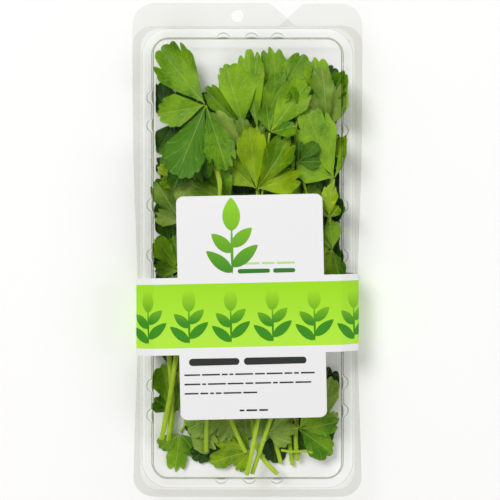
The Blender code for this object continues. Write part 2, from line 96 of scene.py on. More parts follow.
def clear_pet(name, bump_mm, face_on):
    """PET sheet, vacuum-formed: clear with a faint grey cast, glossy, and slightly wavy where it
    cooled on the mould. face_on is the tint that it gives to what is seen straight through it."""
    made, tree, output = new_material(name)
    place = add(tree, "ShaderNodeTexCoord").outputs["Object"]
    # The sheet's ripples are about 25 mm apart.
    ripple = add(tree, "ShaderNodeTexNoise", {"Scale": 40.0, "Detail": 1.0}, {"Vector": place})
    bump = add(
        tree,
        "ShaderNodeBump",
        {"Strength": 1.0, "Distance": bump_mm * MM},
        {"Height": ripple.outputs["Fac"]},
    )
    # It reflects under 1% face on and more along the sheet. The Fresnel node would turn light back inside
    # the thin wall, where the eye's ray isn't bent, so the share comes from the facing angle.
    angle = add(tree, "ShaderNodeLayerWeight", {"Blend": 0.5}, {"Normal": bump.outputs["Normal"]})
    edge = add(
        tree, "ShaderNodeMath", {1: GRAZING_POWER}, {0: angle.outputs["Facing"]}, operation="POWER"
    ).outputs[0]
    share = add(
        tree,
        "ShaderNodeMath",
        {1: GRAZING_SHINE, 2: FACE_ON_SHINE},
        {0: edge},
        operation="MULTIPLY_ADD",
    ).outputs[0]
    # Where the eye looks along the wall it sees the sheet's own grey.
    tint = add(
        tree,
        "ShaderNodeMix",
        {"A": colour(face_on), "B": colour("#F2F3F1")},
        {"Factor": edge},
        data_type="RGBA",
    )
    through = add(tree, "ShaderNodeBsdfTransparent", links={"Color": tint.outputs["Result"]})
    gloss = add(
        tree,
        "ShaderNodeBsdfGlossy",
        {"Color": colour("#F4F4F4"), "Roughness": 0.1},
        {"Normal": bump.outputs["Normal"]},
    )
    sheet = add(
        tree,
        "ShaderNodeMixShader",
        links={0: share, 1: through.outputs["BSDF"], 2: gloss.outputs["BSDF"]},
    )
    tree.links.new(sheet.outputs["Shader"], output.inputs["Surface"])
    return made


def finish_piece(name, bm, material, body, nodes=(), sheet_mm=None, sharp=40):
    """The mesh as an object that rides on its body, if it has one, and stands for CAD nodes. Edges
    that turn by more than sharp degrees stay crisp."""
    for face in bm.faces:
        face.smooth = True
    for edge in bm.edges:
        edge.smooth = not edge.is_boundary and edge.calc_face_angle(0.0) < math.radians(sharp)
    mesh = bpy.data.meshes.new(name)
    bm.to_mesh(mesh)
    bm.free()
    made = bpy.data.objects.new(name, mesh)
    bpy.context.scene.collection.objects.link(made)
    mesh.materials.append(material)
    if sheet_mm:
        wall = made.modifiers.new("sheet", "SOLIDIFY")
        wall.thickness = sheet_mm * MM
        wall.offset = 0.0
    if body:
        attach(made, body)
    if nodes:
        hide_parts(*nodes)
    return made


def arc(x, y, radius, start, end, steps):
    """Points on a circle's arc from one angle to another, in degrees."""
    angles = [math.radians(start + (end - start) * i / steps) for i in range(steps + 1)]
    return [Vector((x + radius * math.cos(a), y + radius * math.sin(a))) for a in angles]


def rim_stations(half_x, half_y, mid_y, radius, spacing):
    """(point, outward normal) about every spacing mm round a rounded rectangle, counter-clockwise."""
    stations = []
    flat_x, flat_y = half_x - radius, half_y - radius
    for turn, centre_x, centre_y, run in (
        (0, flat_x, -flat_y, 2 * flat_y),
        (90, flat_x, flat_y, 2 * flat_x),
        (180, -flat_x, flat_y, 2 * flat_y),
        (270, -flat_x, -flat_y, 2 * flat_x),
    ):
        out = Vector((math.cos(math.radians(turn)), math.sin(math.radians(turn))))
        along = Vector((-out.y, out.x))
        start = Vector((centre_x, centre_y + mid_y)) + out * radius
        steps = round(run / spacing)
        stations += [(start + along * (run * i / steps), out) for i in range(steps)]
        corner = start + along * run - out * radius
        for i in range(CORNER_STEPS):
            angle = math.radians(turn + 90 / CORNER_STEPS * i)
            normal = Vector((math.cos(angle), math.sin(angle)))
            stations.append((corner + normal * radius, normal))
    return stations


def formed_shell(stations, sections, border, hole, bulge=None, bends=()):
    """A formed half: a flat panel, its wall drawn out through (offset, z, share) sections, then the
    flange to its border. bulge says how far the wall stands out at a station, of which each section
    takes its share, and bends numbers the sections where the sheet turns sharply."""
    bm = bmesh.new()
    number = bm.verts.layers.int.new("station")
    ring = bmesh.ops.create_circle(bm, segments=len(stations), radius=1.0)["verts"]
    for i, vert in enumerate(ring):
        vert[number] = i
    edges = bm.edges[:]
    for i, (offset, z, share) in enumerate(sections):
        if i:
            drawn = bmesh.ops.extrude_edge_only(bm, edges=edges)["geom"]
            ring = [v for v in drawn if isinstance(v, bmesh.types.BMVert)]
            edges = [e for e in drawn if isinstance(e, bmesh.types.BMEdge)]
            for face in drawn:
                if isinstance(face, bmesh.types.BMFace):
                    face.material_index = 2 if i in bends else 0
        for vert in ring:
            point, normal = stations[vert[number]]
            extra = share * bulge(point, normal) if bulge else 0.0
            spot = point + normal * (offset + extra)
            vert.co = (spot.x * MM, spot.y * MM, z * MM)
        if not i:
            bmesh.ops.contextual_create(bm, geom=edges)
    flange_z = sections[-1][1]
    outer = []
    for loop in [border, hole] if hole else [border]:
        edge_ring = bmesh.ops.create_circle(bm, segments=len(loop), radius=1.0)["verts"]
        for vert, spot in zip(edge_ring, loop):
            vert.co = (spot.x * MM, spot.y * MM, flange_z * MM)
        outer += list({e for v in edge_ring for e in v.link_edges})
    flange = bmesh.ops.triangle_fill(bm, edges=edges + outer, use_beauty=True)["geom"]
    for face in flange:
        if isinstance(face, bmesh.types.BMFace):
            face.material_index = 1
    bmesh.ops.recalc_face_normals(bm, faces=bm.faces)
    return bm


def long_edge_x(y):
    """The flange's half width: the taut label draws its long edges in."""
    return 57.5 - 2.7 * math.exp(-(((y + 33.0) / 60.0) ** 2))


def long_edge(side, y_from, y_to):
    """The flange's long edge on one side, -1 or 1, from y_from to y_to."""
    places = [y_from + (y_to - y_from) * i / EDGE_STEPS for i in range(1, EDGE_STEPS + 1)]
    return [Vector((side * long_edge_x(y), y)) for y in places]


def tab_slope(side, top_x, slope, tab_y, plain_y):
    """The tab's sloping edge, from its top down to the plain flange, with both corners eased."""
    foot_x = top_x + side * slope
    return [
        Vector((top_x - side * EASE, tab_y)),
        Vector((top_x + side * EASE, tab_y - 0.7)),
        Vector((foot_x - side * EASE, plain_y + 0.7)),
        Vector((foot_x + side * EASE, plain_y)),
    ]


def flange_border(tab_from, tab_to):
    """The flange's edge with its tab, whose top runs from tab_from to tab_to along the hang end."""
    fold_y, plain_y, tab_y, slope = -123.3, 112.0, 123.3, 12.5
    on_right = tab_to > -tab_from
    right = (tab_y, 11.0) if on_right else (plain_y, 9.5)
    left = (plain_y, 9.5) if on_right else (tab_y, 11.0)
    fold_corner = 10.0
    start = fold_y + fold_corner
    edge = long_edge_x(start) - fold_corner
    points = arc(edge, start, fold_corner, -90, 0, 12)
    top, radius = right
    shoulder = top - radius
    points += long_edge(1, start, shoulder)
    points += arc(long_edge_x(shoulder) - radius, shoulder, radius, 0, 90, 12)[1:]
    if on_right:
        points += tab_slope(-1, tab_from, slope, tab_y, plain_y)
    else:
        points += tab_slope(1, tab_to, slope, tab_y, plain_y)[::-1]
    top, radius = left
    shoulder = top - radius
    points += arc(radius - long_edge_x(shoulder), shoulder, radius, 90, 180, 12)
    points += long_edge(-1, shoulder, start)
    points += arc(-edge, start, fold_corner, 180, 270, 12)[1:]
    return points


# The tray's walls and floor are left fully clear while the flange has a faint grey, so that the cavity
# under them, dimmed by shade, looks as light as the flange: painted light.
tray_pet = clear_pet("clear_pet_tray", 0.25, "#FFFFFF")
flange_pet = clear_pet("clear_pet_flange", 0.1, "#F9F9F8")
mouth = rim_stations(52.6, 114.4, -4.5, 8.5, 4.0)
tray_mesh = formed_shell(
    mouth,
    [
        (-6.6, 0.25, 0),
        (-5.7, 0.35, 0),
        (-5.0, 0.8, 0),
        (-4.6, 1.7, 0),
        (-3.9, 4.5, 0),
        (-2.4, 11.5, 0),
        (-1.0, 18.0, 0),
        (-0.75, 18.8, 0),
        (-0.3, 19.4, 0),
        (0.4, 19.7, 0),
        (1.0, 19.75, 0),
    ],
    flange_border(28.0, 45.0),
    None,
)
tray_shell = finish_piece("tray_shell", tray_mesh, tray_pet, "tray", ["tray"], SHEET_MM)
tray_shell.data.materials.append(flange_pet)

# -------------------------------------------------------------------------------------- Sprig stems
# Eleven cut stems with their leaf stalks, each one grown piece: round, faintly ribbed along their
# length, and a light yellow-green. They lie loose on the tray's floor and on each other.


def parsley_stem():
    """Fresh parsley stem: smooth ribbed skin with a waxy gloss, and light comes through its flesh."""
    made, tree, output = new_material("parsley_stem")
    place = add(tree, "ShaderNodeTexCoord").outputs["Object"]
    # Ribs about 1 mm apart, drawn out along the stems.
    along = add(tree, "ShaderNodeMapping", {"Scale": (1.0, 0.05, 1.0)}, {"Vector": place})
    ribs = add(
        tree,
        "ShaderNodeTexNoise",
        {"Scale": 1100.0, "Detail": 2.0},
        {"Vector": along.outputs["Vector"]},
    )
    # Patches about 15 mm long where the green is fuller.
    patches = add(tree, "ShaderNodeTexNoise", {"Scale": 70.0, "Detail": 2.0}, {"Vector": place})
    green = add(
        tree,
        "ShaderNodeMix",
        {"A": colour("#CCF020"), "B": colour("#EEFF60")},
        {"Factor": patches.outputs["Fac"]},
        data_type="RGBA",
    )
    streaked = add(
        tree,
        "ShaderNodeMix",
        {"B": colour("#8CB428"), "Factor": 0.3},
        {"A": green.outputs["Result"], "Factor": ribs.outputs["Fac"]},
        data_type="RGBA",
    )
    bump = add(
        tree,
        "ShaderNodeBump",
        {"Strength": 0.5, "Distance": 0.15 * MM},
        {"Height": ribs.outputs["Fac"]},
    )
    skin = add(
        tree,
        "ShaderNodeBsdfPrincipled",
        {"Roughness": 0.36, "IOR": 1.4, "Specular IOR Level": 0.35},
        {"Base Color": streaked.outputs["Result"], "Normal": bump.outputs["Normal"]},
    )
    glow = add(tree, "ShaderNodeBsdfTranslucent", links={"Color": green.outputs["Result"]})
    flesh = add(
        tree,
        "ShaderNodeMixShader",
        {0: 0.2},
        {1: skin.outputs["BSDF"], 2: glow.outputs["BSDF"]},
    )
    tree.links.new(flesh.outputs["Shader"], output.inputs["Surface"])
    return made


def crease_cuts(bm):
    """Keeps the rims of the cut ends crisp when the stem is rounded."""
    crease = bm.edges.layers.float.new("crease_edge")
    for edge in bm.edges:
        if edge.calc_face_angle(0.0) > math.radians(80):
            edge[crease] = 0.9


def round_off(stem):
    """Rounds the stem's facets by subdividing them."""
    rounding = stem.modifiers.new("rounding", "SUBSURF")
    rounding.levels = rounding.render_levels = 2


stem_skin = parsley_stem()
for node_name in sorted(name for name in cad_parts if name.endswith("_stem")):
    bm = bmesh.new()
    bm.from_mesh(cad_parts[node_name].data)
    bmesh.ops.remove_doubles(bm, verts=bm.verts, dist=0.004 * MM)
    bmesh.ops.join_triangles(bm, faces=bm.faces, angle_face_threshold=0.6, angle_shape_threshold=3.14)
    crease_cuts(bm)
    stem = finish_piece(
        f"{node_name}_skin", bm, stem_skin, "tray", [node_name], sharp=180
    )
    round_off(stem)

# More stems of the same sprigs, on top of the pile: (radius, route of x, y, z), in millimetres.
OVER_STEMS = {
    "over_stem_left": (
        1.4,
        [(-35.0, -46, 14.0), (-36.6, -58, 15.4), (-39.5, -76, 13.0), (-44.0, -97.2, 7.5)],
    ),
    "over_stem_middle": (
        1.4,
        [(-40.6, -46, 12.0), (-39.4, -58, 12.0), (-38.4, -76, 9.5), (-40.4, -97.8, 6.5)],
    ),
    "over_stem_short": (
        0.7,
        [(17.0, -102.0, 9.0), (22.0, -102.8, 9.3), (28.0, -102.6, 9.0), (33.5, -103.6, 8.0)],
    ),
}
for name, (radius, route) in OVER_STEMS.items():
    bm = bmesh.new()
    ring = bmesh.ops.create_circle(bm, cap_ends=True, segments=10, radius=radius)["verts"]
    heading = (Vector(route[1]) - Vector(route[0])).normalized()
    bmesh.ops.rotate(bm, verts=ring, matrix=heading.to_track_quat("Z", "Y").to_matrix())
    bmesh.ops.translate(bm, verts=ring, vec=route[0])
    end = bm.faces[:]
    for here, there in zip(route, route[1:]):
        end = bmesh.ops.extrude_face_region(bm, geom=end, use_keep_orig=here == route[0])["geom"]
        ring = [v for v in end if isinstance(v, bmesh.types.BMVert)]
        bmesh.ops.translate(bm, verts=ring, vec=Vector(there) - Vector(here))
        end = [f for f in end if isinstance(f, bmesh.types.BMFace)]
    bmesh.ops.recalc_face_normals(bm, faces=bm.faces)
    bmesh.ops.scale(bm, verts=bm.verts, vec=(MM, MM, MM))
    crease_cuts(bm)
    stem = finish_piece(name, bm, stem_skin, "tray", sharp=60)
    round_off(stem)

# ------------------------------------------------------------------------------------- Sprig leaves
# Each leaf is three to five leaflets that fan out from the end of a stalk. A leaflet is a thin
# wedge-shaped blade with three lobes and blunt teeth, puckered between its veins. The leaves lie on
# one another and bend over what is under them.

# node: (x, y, green, leaflets). A leaflet is its direction in degrees and its length in millimetres,
# then its half width in degrees and how light it is where those aren't left to the rule.
LEAVES = {
    "sprig_01_leaf_a": (-13.0, 58.0, "deep", [(150, 26), (105, 27), (62, 26), (200, 22), (15, 20)]),
    "sprig_01_leaf_b": (-33.0, 28.0, "deep", [(100, 24), (150, 16), (55, 22), (215, 16), (270, 16)]),
    "sprig_01_leaf_c": (-38.0, 6.0, "deep", [(100, 20), (250, 18), (60, 14), (200, 10)]),
    "sprig_01_leaf_d": (-38.0, -84.0, "mid", [(105, 26), (140, 13), (70, 16)]),
    "sprig_02_leaf_a": (26.0, 62.0, "deep", [(120, 26), (85, 15), (50, 24), (170, 22), (10, 20)]),
    "sprig_02_leaf_b": (37.0, 38.0, "deep", [(95, 24), (140, 20), (60, 14), (200, 20), (250, 14)]),
    "sprig_02_leaf_c": (43.0, 8.0, "deep", [(95, 20), (130, 14), (265, 18), (230, 12)]),
    "sprig_02_leaf_d": (12.0, 40.0, "deep", [(100, 24), (60, 22), (140, 24), (20, 22), (190, 22)]),
    "sprig_03_leaf_a": (26.0, 74.0, "deep", [(95, 20), (65, 18), (125, 17)]),
    "sprig_03_leaf_b": (16.2, 79.0, "mid", [(99, 26), (60, 25), (138, 21)]),
    "sprig_03_leaf_c": (38.7, 73.0, "mid", [(101, 27), (58, 20), (142, 20)]),
    "sprig_03_leaf_d": (28.0, 20.0, "mid", [(60, 15), (110, 14), (15, 14)]),
    "sprig_04_leaf_a": (41.2, 62.0, "pale", [(97, 32), (125, 20), (72, 22)]),
    "sprig_04_leaf_b": (44.0, 47.0, "young", [(60, 12), (100, 16), (20, 7)]),
    "sprig_05_leaf_a": (5.2, 61.0, "mid", [(98, 42, 15, 0.9), (62, 32, 20, 0.2), (28, 18)]),
    "sprig_05_leaf_b": (-2.0, 62.0, "mid", [(106, 34), (134, 29), (160, 20)]),
    "sprig_05_leaf_c": (0.2, 49.0, "pale", [(132, 28), (165, 22), (100, 18), (60, 16)]),
    "sprig_06_leaf_a": (1.3, -103.0, "young", [(198, 22), (160, 20), (232, 13), (130, 12)]),
    "sprig_06_leaf_b": (-34.8, -94.0, "mid", [(262, 21), (305, 15), (220, 14)]),
    "sprig_06_leaf_c": (-31.0, -88.0, "pale", [(-8, 29), (-42, 21), (26, 22), (60, 14)]),
    "sprig_07_leaf_a": (37.0, -91.0, "pale", [(78, 27), (110, 20), (45, 12)]),
    "sprig_07_leaf_b": (26.0, -91.0, "mid", [(10, 21), (-36, 22), (50, 18)]),
    "sprig_07_leaf_c": (10.0, -94.0, "pale", [(14, 16), (44, 15), (-20, 13), (75, 13)]),
    "sprig_08_leaf_a": (-33.7, 14.0, "pale", [(122, 25), (92, 24), (160, 14)]),
    "sprig_08_leaf_b": (-34.7, -11.0, "mid", [(125, 21), (168, 13), (92, 20), (250, 14)]),
    "sprig_08_leaf_c": (-33.0, 38.0, "young", [(160, 14), (118, 15), (200, 12)]),
    "sprig_09_leaf_a": (43.7, 36.0, "mid", [(112, 38, 26, 0.9), (66, 20, 14), (157, 21)]),
    "sprig_09_leaf_b": (43.0, 0.0, "mid", [(285, 16), (250, 15), (95, 15), (130, 12)]),
    "sprig_09_leaf_c": (41.0, 16.0, "young", [(86, 17), (128, 13), (50, 8)]),
    "sprig_09_leaf_d": (25.7, 44.5, "deep", [(45, 14), (88, 11), (2, 11)]),
    "sprig_10_leaf_a": (4.7, 31.0, "young", [(138, 29), (97, 31), (56, 31), (20, 23)]),
    "sprig_10_leaf_b": (-8.0, 24.5, "mid", [(157, 23), (122, 19), (196, 17)]),
    "sprig_10_leaf_c": (11.2, 59.5, "mid", [(53, 32), (98, 14), (14, 14)]),
    "sprig_11_leaf_a": (-27.7, 53.5, "deep", [(246, 24), (285, 20), (208, 19)]),
    "sprig_11_leaf_b": (
        -21.2,
        73.5,
        "mid",
        # These lightnesses are painted light and shade: the leaflet at 249 degrees is darkest, where shade
        # falls.
        [(129, 38, 25, 0.5), (190, 25, 30, 0.6), (249, 40, 25, -0.4), (288, 35, 20, 0.2)],
    ),
}


def parsley_leaf(name, dark, light, vein):
    """Fresh parsley leaf: a waxy skin over soft green flesh that light comes through. Its veins are
    paler, and the skin is pillowed between the finest of them. The veins map counts the side veins
    across and runs out along the leaflet; the rib map gives millimetres from the midrib, and
    how light the leaflet is."""
    made, tree, output = new_material(name)
    place = add(tree, "ShaderNodeTexCoord").outputs["Object"]

    def math_node(operation, a, b=0.0, c=0.0):
        """The result of a Math node whose inputs are numbers or other nodes' outputs."""
        inputs = {i: v for i, v in enumerate((a, b, c)) if isinstance(v, float)}
        links = {i: v for i, v in enumerate((a, b, c)) if not isinstance(v, float)}
        return add(tree, "ShaderNodeMath", inputs, links, operation=operation).outputs[0]

    def line(distance, half_width):
        """1 on the line, falling to 0 at half_width from it."""
        inputs = {"From Min": 0.0, "From Max": half_width, "To Min": 1.0, "To Max": 0.0}
        return add(
            tree, "ShaderNodeMapRange", inputs, {"Value": distance}, interpolation_type="SMOOTHSTEP"
        ).outputs["Result"]

    vein_map = add(tree, "ShaderNodeUVMap", uv_map="veins").outputs["UV"]
    count = add(tree, "ShaderNodeSeparateXYZ", links={"Vector": vein_map}).outputs["X"]
    rib_map = add(tree, "ShaderNodeUVMap", uv_map="rib").outputs["UV"]
    from_rib, tone = add(tree, "ShaderNodeSeparateXYZ", links={"Vector": rib_map}).outputs[:2]
    side_veins = line(math_node("PINGPONG", count, 0.5), 0.07)
    veins = math_node("MAXIMUM", line(from_rib, 0.45), math_node("MULTIPLY", side_veins, 0.6))

    # The net of the finest veins has cells about 1.2 mm across.
    net = add(
        tree, "ShaderNodeTexVoronoi", {"Scale": 800.0}, {"Vector": place}, feature="DISTANCE_TO_EDGE"
    ).outputs["Distance"]
    # Cloudy green over about 9 mm, and mottling over about 1 mm.
    cloud = add(tree, "ShaderNodeTexNoise", {"Scale": 110.0, "Detail": 3.0}, {"Vector": place})
    mottle = add(tree, "ShaderNodeTexNoise", {"Scale": 900.0, "Detail": 2.0}, {"Vector": place})
    shade = math_node("MULTIPLY_ADD", mottle.outputs["Fac"], 0.4, cloud.outputs["Fac"])
    shade = math_node("MULTIPLY_ADD", tone, 0.35, shade)
    shade = add(tree, "ShaderNodeMapRange", {"From Min": 0.6, "From Max": 1.15}, {"Value": shade})
    green = add(
        tree,
        "ShaderNodeMix",
        {"A": colour(dark), "B": colour(light)},
        {"Factor": shade.outputs["Result"]},
        data_type="RGBA",
    )
    veined = add(
        tree,
        "ShaderNodeMix",
        {"B": colour(vein)},
        {"A": green.outputs["Result"], "Factor": math_node("MULTIPLY", veins, 0.55)},
        data_type="RGBA",
    )
    pillow = math_node("MULTIPLY_ADD", mottle.outputs["Fac"], 0.6, math_node("MULTIPLY", net, 1.2))
    height = math_node("MULTIPLY_ADD", veins, -0.8, pillow)
    bump = add(tree, "ShaderNodeBump", {"Strength": 0.8, "Distance": 0.3 * MM}, {"Height": height})
    # The wax is thicker in patches, which shine more.
    gloss_range = {"From Min": 0.35, "From Max": 0.65, "To Min": 0.22, "To Max": 0.48}
    wax = add(tree, "ShaderNodeMapRange", gloss_range, {"Value": cloud.outputs["Fac"]})
    skin = add(
        tree,
        "ShaderNodeBsdfPrincipled",
        {"IOR": 1.4, "Specular IOR Level": 0.38},
        {
            "Base Color": veined.outputs["Result"],
            "Normal": bump.outputs["Normal"],
            "Roughness": wax.outputs["Result"],
        },
    )
    glow = add(tree, "ShaderNodeBsdfTranslucent", links={"Color": veined.outputs["Result"]})
    leaf = add(tree, "ShaderNodeMixShader", {0: 0.25}, {1: skin.outputs["BSDF"], 2: glow.outputs["BSDF"]})
    tree.links.new(leaf.outputs["Shader"], output.inputs["Surface"])
    return made


leaf_greens = {
    # The deep greens are darker than the mid ones on the leaves lying low in the pile: painted shade.
    "deep": parsley_leaf("parsley_leaf_deep_painted_shade", "#285A00", "#5C9606", "#93BE3C"),
    "mid": parsley_leaf("parsley_leaf_mid", "#4C8800", "#98C812", "#C8E268"),
    "young": parsley_leaf("parsley_leaf_young", "#669A00", "#B2D40C", "#DAEC5C"),
    # The under greens, darkest of all, are painted shade: leaves seen only in the gaps between the others.
    "under": parsley_leaf("parsley_leaf_under_painted_shade", "#163C00", "#3C7000", "#74A22E"),
    "pale": parsley_leaf("parsley_leaf_pale", "#6C9A1E", "#B2D05A", "#D6E69A"),
}
VEIN_RISE = 0.7  # the share of the midrib that side veins leave from
TOOTH_WIDTH = 4.1
TEETH_AT = 0.85  # how far out a leaflet's width is taken when its teeth are counted
TOOTH_STEPS, LEAFLET_ROWS = 16, 16  # grid columns to each tooth, and rows out along a leaflet
UNDER_PLATE = 0.25  # how far a blade's middle lies under the top of its CAD plate
TRAY_REACH = 46.5  # beyond this a leaf's edge starts to bend up the tray's wall
LEAF_LOW, LEAF_HIGH = 0.7, 24.9  # just clear of the tray's floor and of the lid's face
BLADE_MM = 0.22
USUAL_SPREAD = 33.0  # half of a leaflet's width in degrees, where it has room


def leaf_edge(t, teeth, length, cleft):
    """How far out the blade's edge lies at t, from -1 at one side to 1 at the other, as a share of
    the leaflet's length: rounded teeth of uneven width, about 1.9 mm deep at most, and one deeper
    cleft on each side that parts the lobes."""
    count = abs(t) * teeth
    count += 0.16 * math.sin(2.3 * count * math.copysign(1.0, t) + length)
    body = 1.0 - 0.32 * abs(t) ** 2.2
    scallop = (1.0 - abs(math.cos(math.pi * count)) ** 0.55) * min(1.9 / length, 0.06)
    lobe_at = (teeth - 1) // 2 + 0.5
    return body - scallop - cleft * math.exp(-(((count - lobe_at) / 0.2) ** 2))


def vein_count(t, out, teeth):
    """Which side vein passes here, as a number that is whole on a vein. Each vein leaves the midrib
    and runs straight to the tip of its own tooth."""
    b = out - VEIN_RISE - VEIN_RISE * abs(t)
    root = math.sqrt(b * b + 4 * VEIN_RISE * abs(t) * (1 - VEIN_RISE))
    return (root - b) / (2 * VEIN_RISE) * teeth


def plate_height(plate_tree, spot):
    """How high the CAD plate's top lies over a spot in plan, if it reaches there."""
    above = Vector((*spot, 50.0)) * MM
    hit = plate_tree.ray_cast(above, Vector((0, 0, -1)))[0]
    return hit.z / MM if hit else None


def bend_terms(u, w):
    """The terms of a blade's smooth bend, at u along it and w across it."""
    return (u, u * u, u**3, w, w * u, w * w, w * w * u)


def add_leaflet(bm, maps, plate_tree, loose_z, base, direction, length, low, high, tone, seed):
    """One blade: a grid whose rows run out from the base and whose columns fan across it, by low
    degrees on one side and high on the other. It takes the bend of the CAD plate that holds its
    place, or starts at loose_z without one, and has its own fold, roll and puckers."""
    teeth = max(2, round(math.radians((low + high) / 2) * TEETH_AT * length / TOOTH_WIDTH))
    before = set(bm.verts)
    bmesh.ops.create_grid(bm, x_segments=teeth * TOOTH_STEPS, y_segments=LEAFLET_ROWS, size=1.0)
    made = [v for v in bm.verts if v not in before]
    axis = Vector((math.cos(math.radians(direction)), math.sin(math.radians(direction))))
    side = Vector((-axis.y, axis.x))
    # The seed gives each leaflet its own depth of cleft, bow to one side, fold and roll.
    cleft = 0.055 + 0.045 * math.sin(seed * 2.1)
    bow = 3.0 * math.sin(seed * 1.7)
    fold = 0.13 * math.sin(seed * 3.3 + 0.8)
    roll = 0.07 * math.sin(seed * 4.7)
    samples, heights, places = [], [], []
    start = plate_height(plate_tree, base)
    base_z = loose_z if start is None else start
    for vert in made:
        t, out = vert.co.x, (vert.co.y + 1) / 2
        belly = 0.5 + 0.5 * math.sin(min(out / 0.6, 1.0) * math.pi / 2)
        turn = t * (low if t < 0 else high) * belly + bow * out * (1 - t * t)
        reach = 0.5 + (length * leaf_edge(t, teeth, length, cleft) - 0.5) * out
        along, across = reach * math.cos(math.radians(turn)), reach * math.sin(math.radians(turn))
        spot = base + axis * along + side * across
        places.append((vert, t, out, along, across))
        vert.co = spot.to_3d() * MM
        vert[maps["count"]] = vein_count(t, out, teeth)
        vert[maps["rib"]] = abs(across)
        vert[maps["tone"]] = tone
        height = plate_height(plate_tree, spot)
        if height is not None:
            samples.append(bend_terms(along / length, across / length))
            heights.append(height - UNDER_PLATE - base_z)
    bend = np.zeros(7)
    if samples:
        bend = np.linalg.lstsq(np.array(samples), np.array(heights), rcond=None)[0]
    for vert, t, out, along, across in places:
        z = base_z + float(np.dot(bend, bend_terms(along / length, across / length)))
        # Puckers 9 mm and 3 mm across, pillows between the side veins, a groove along the midrib.
        spot = Vector((vert.co.x / MM, vert.co.y / MM, seed))
        pucker = 0.9 * noise.noise(spot * 0.11) + 0.3 * noise.noise(spot * 0.33)
        pillow = 0.22 * math.sin(math.pi * vert[maps["count"]]) ** 2 * min(1.0, abs(across) / 2)
        groove = 0.3 * math.exp(-((across / 0.7) ** 2)) * (1 - out)
        z += (fold * abs(across) + roll * across) * min(1.0, out * 2) + (pucker + pillow) * out - groove
        # Near the tray's wall the blade gives way and bends up.
        over = abs(vert.co.x) / MM - TRAY_REACH
        if over > 0:
            room = 0.5 + 0.17 * max(z, 0.0)
            held = room * (1 - math.exp(-over / room))
            vert.co.x = math.copysign((TRAY_REACH + held) * MM, vert.co.x)
            z += 0.6 * (over - held)
        vert.co.z = min(max(z, LEAF_LOW), LEAF_HIGH) * MM


# More leaves of the same sprigs. Most are pressed under the others, where only glimpses of them show,
# and are in the darkest greens, painted shade in the gaps; the last lies over them at the cut end, behind the
# stems.
MORE_LEAVES = {
    "under_leaf_01": (-38.0, 66.0, "under", [(60, 20), (120, 22), (300, 24), (20, 22), (240, 18)]),
    "under_leaf_02": (-30.0, 38.0, "under", [(40, 24), (95, 22), (150, 20), (210, 20), (330, 24)]),
    "under_leaf_03": (-2.0, 20.0, "under", [(90, 26), (30, 24), (150, 24), (210, 24), (330, 24), (270, 20)]),
    "under_leaf_04": (0.0, 64.0, "under", [(60, 26), (115, 20), (0, 24), (180, 24), (230, 24), (300, 22)]),
    "under_leaf_05": (28.0, 78.0, "under", [(40, 24), (100, 22), (150, 24), (330, 22), (210, 22), (270, 22)]),
    "under_leaf_06": (34.0, 48.0, "under", [(80, 24), (20, 20), (150, 24), (220, 24), (300, 24)]),
    "under_leaf_07": (36.0, 16.0, "under", [(60, 20), (120, 24), (200, 22), (270, 24), (330, 18)]),
    "under_leaf_08": (38.0, -10.0, "under", [(60, 18), (110, 20), (240, 20), (290, 20)]),
    "under_leaf_09": (-40.0, 4.0, "under", [(70, 20), (110, 18), (250, 22), (290, 20)]),
    "under_leaf_10": (-16.0, -98.0, "under", [(20, 22), (80, 20), (140, 20), (330, 18), (220, 16)]),
    "under_leaf_11": (14.0, -92.0, "under", [(20, 24), (90, 20), (330, 20), (270, 18), (160, 18)]),
    "under_leaf_12": (38.0, -82.0, "under", [(80, 22), (270, 20), (130, 18), (230, 16)]),
    "under_leaf_13": (-38.0, -64.0, "under", [(90, 22), (60, 16), (270, 20), (300, 16)]),
    # Its leaflets are darker still: painted shade for the dark hole beside the stems.
    "under_leaf_14": (
        -16.0,
        -90.0,
        "under",
        [(250, 19, USUAL_SPREAD, -1.0), (290, 20, USUAL_SPREAD, -1.0), (330, 16, USUAL_SPREAD, -1.0)],
    ),
    "over_leaf_15": (-2.0, -78.0, "pale", [(206, 33), (240, 23), (275, 20), (310, 24), (338, 28)]),
}
UNDER_Z, OVER_Z = 1.5, 5.5  # the heights of such leaves' feet
for index, (leaf_name, (x, y, green, leaflets)) in enumerate([*LEAVES.items(), *MORE_LEAVES.items()]):
    plate = bmesh.new()
    on_plate = leaf_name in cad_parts
    loose_z = OVER_Z if leaf_name.startswith("over") else UNDER_Z
    if on_plate:
        plate.from_mesh(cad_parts[leaf_name].data)
    plate_tree = BVHTree.FromBMesh(plate)
    plate.free()
    bm = bmesh.new()
    maps = {name: bm.verts.layers.float.new(name) for name in ("count", "rib", "tone")}
    ordered = sorted((direction % 360, length, *rest) for direction, length, *rest in leaflets)
    for i, (direction, length, *rest) in enumerate(ordered):
        before = (direction - ordered[i - 1][0]) % 360
        after = (ordered[(i + 1) % len(ordered)][0] - direction) % 360
        seed = index * 5.3 + i
        widest = rest[0] if rest else USUAL_SPREAD
        tone = rest[1] if len(rest) > 1 else 0.5 + 0.4 * math.sin(seed * 2.7)
        low, high = min(widest, before / 2 + 2), min(widest, after / 2 + 2)
        add_leaflet(bm, maps, plate_tree, loose_z, Vector((x, y)), direction, length, low, high, tone, seed)
    vein_layer, rib_layer = bm.loops.layers.uv.new("veins"), bm.loops.layers.uv.new("rib")
    for face in bm.faces:
        for loop in face.loops:
            loop[vein_layer].uv = (loop.vert[maps["count"]], 0.0)
            loop[rib_layer].uv = (loop.vert[maps["rib"]], loop.vert[maps["tone"]])
        if face.normal.z < 0:
            face.normal_flip()
    finish_piece(
        f"{leaf_name}_blade",
        bm,
        leaf_greens[green],
        "tray",
        [leaf_name] if on_plate else [],
        sheet_mm=BLADE_MM,
        sharp=180,
    )

# -------------------------------------------------------------------------------------------- Lid
# The upper half of the pack: the same clear PET sheet, shallower, with a raised face, half-round
# flutes that stiffen its wall, and a tab with a punched hole that the pack hangs from.

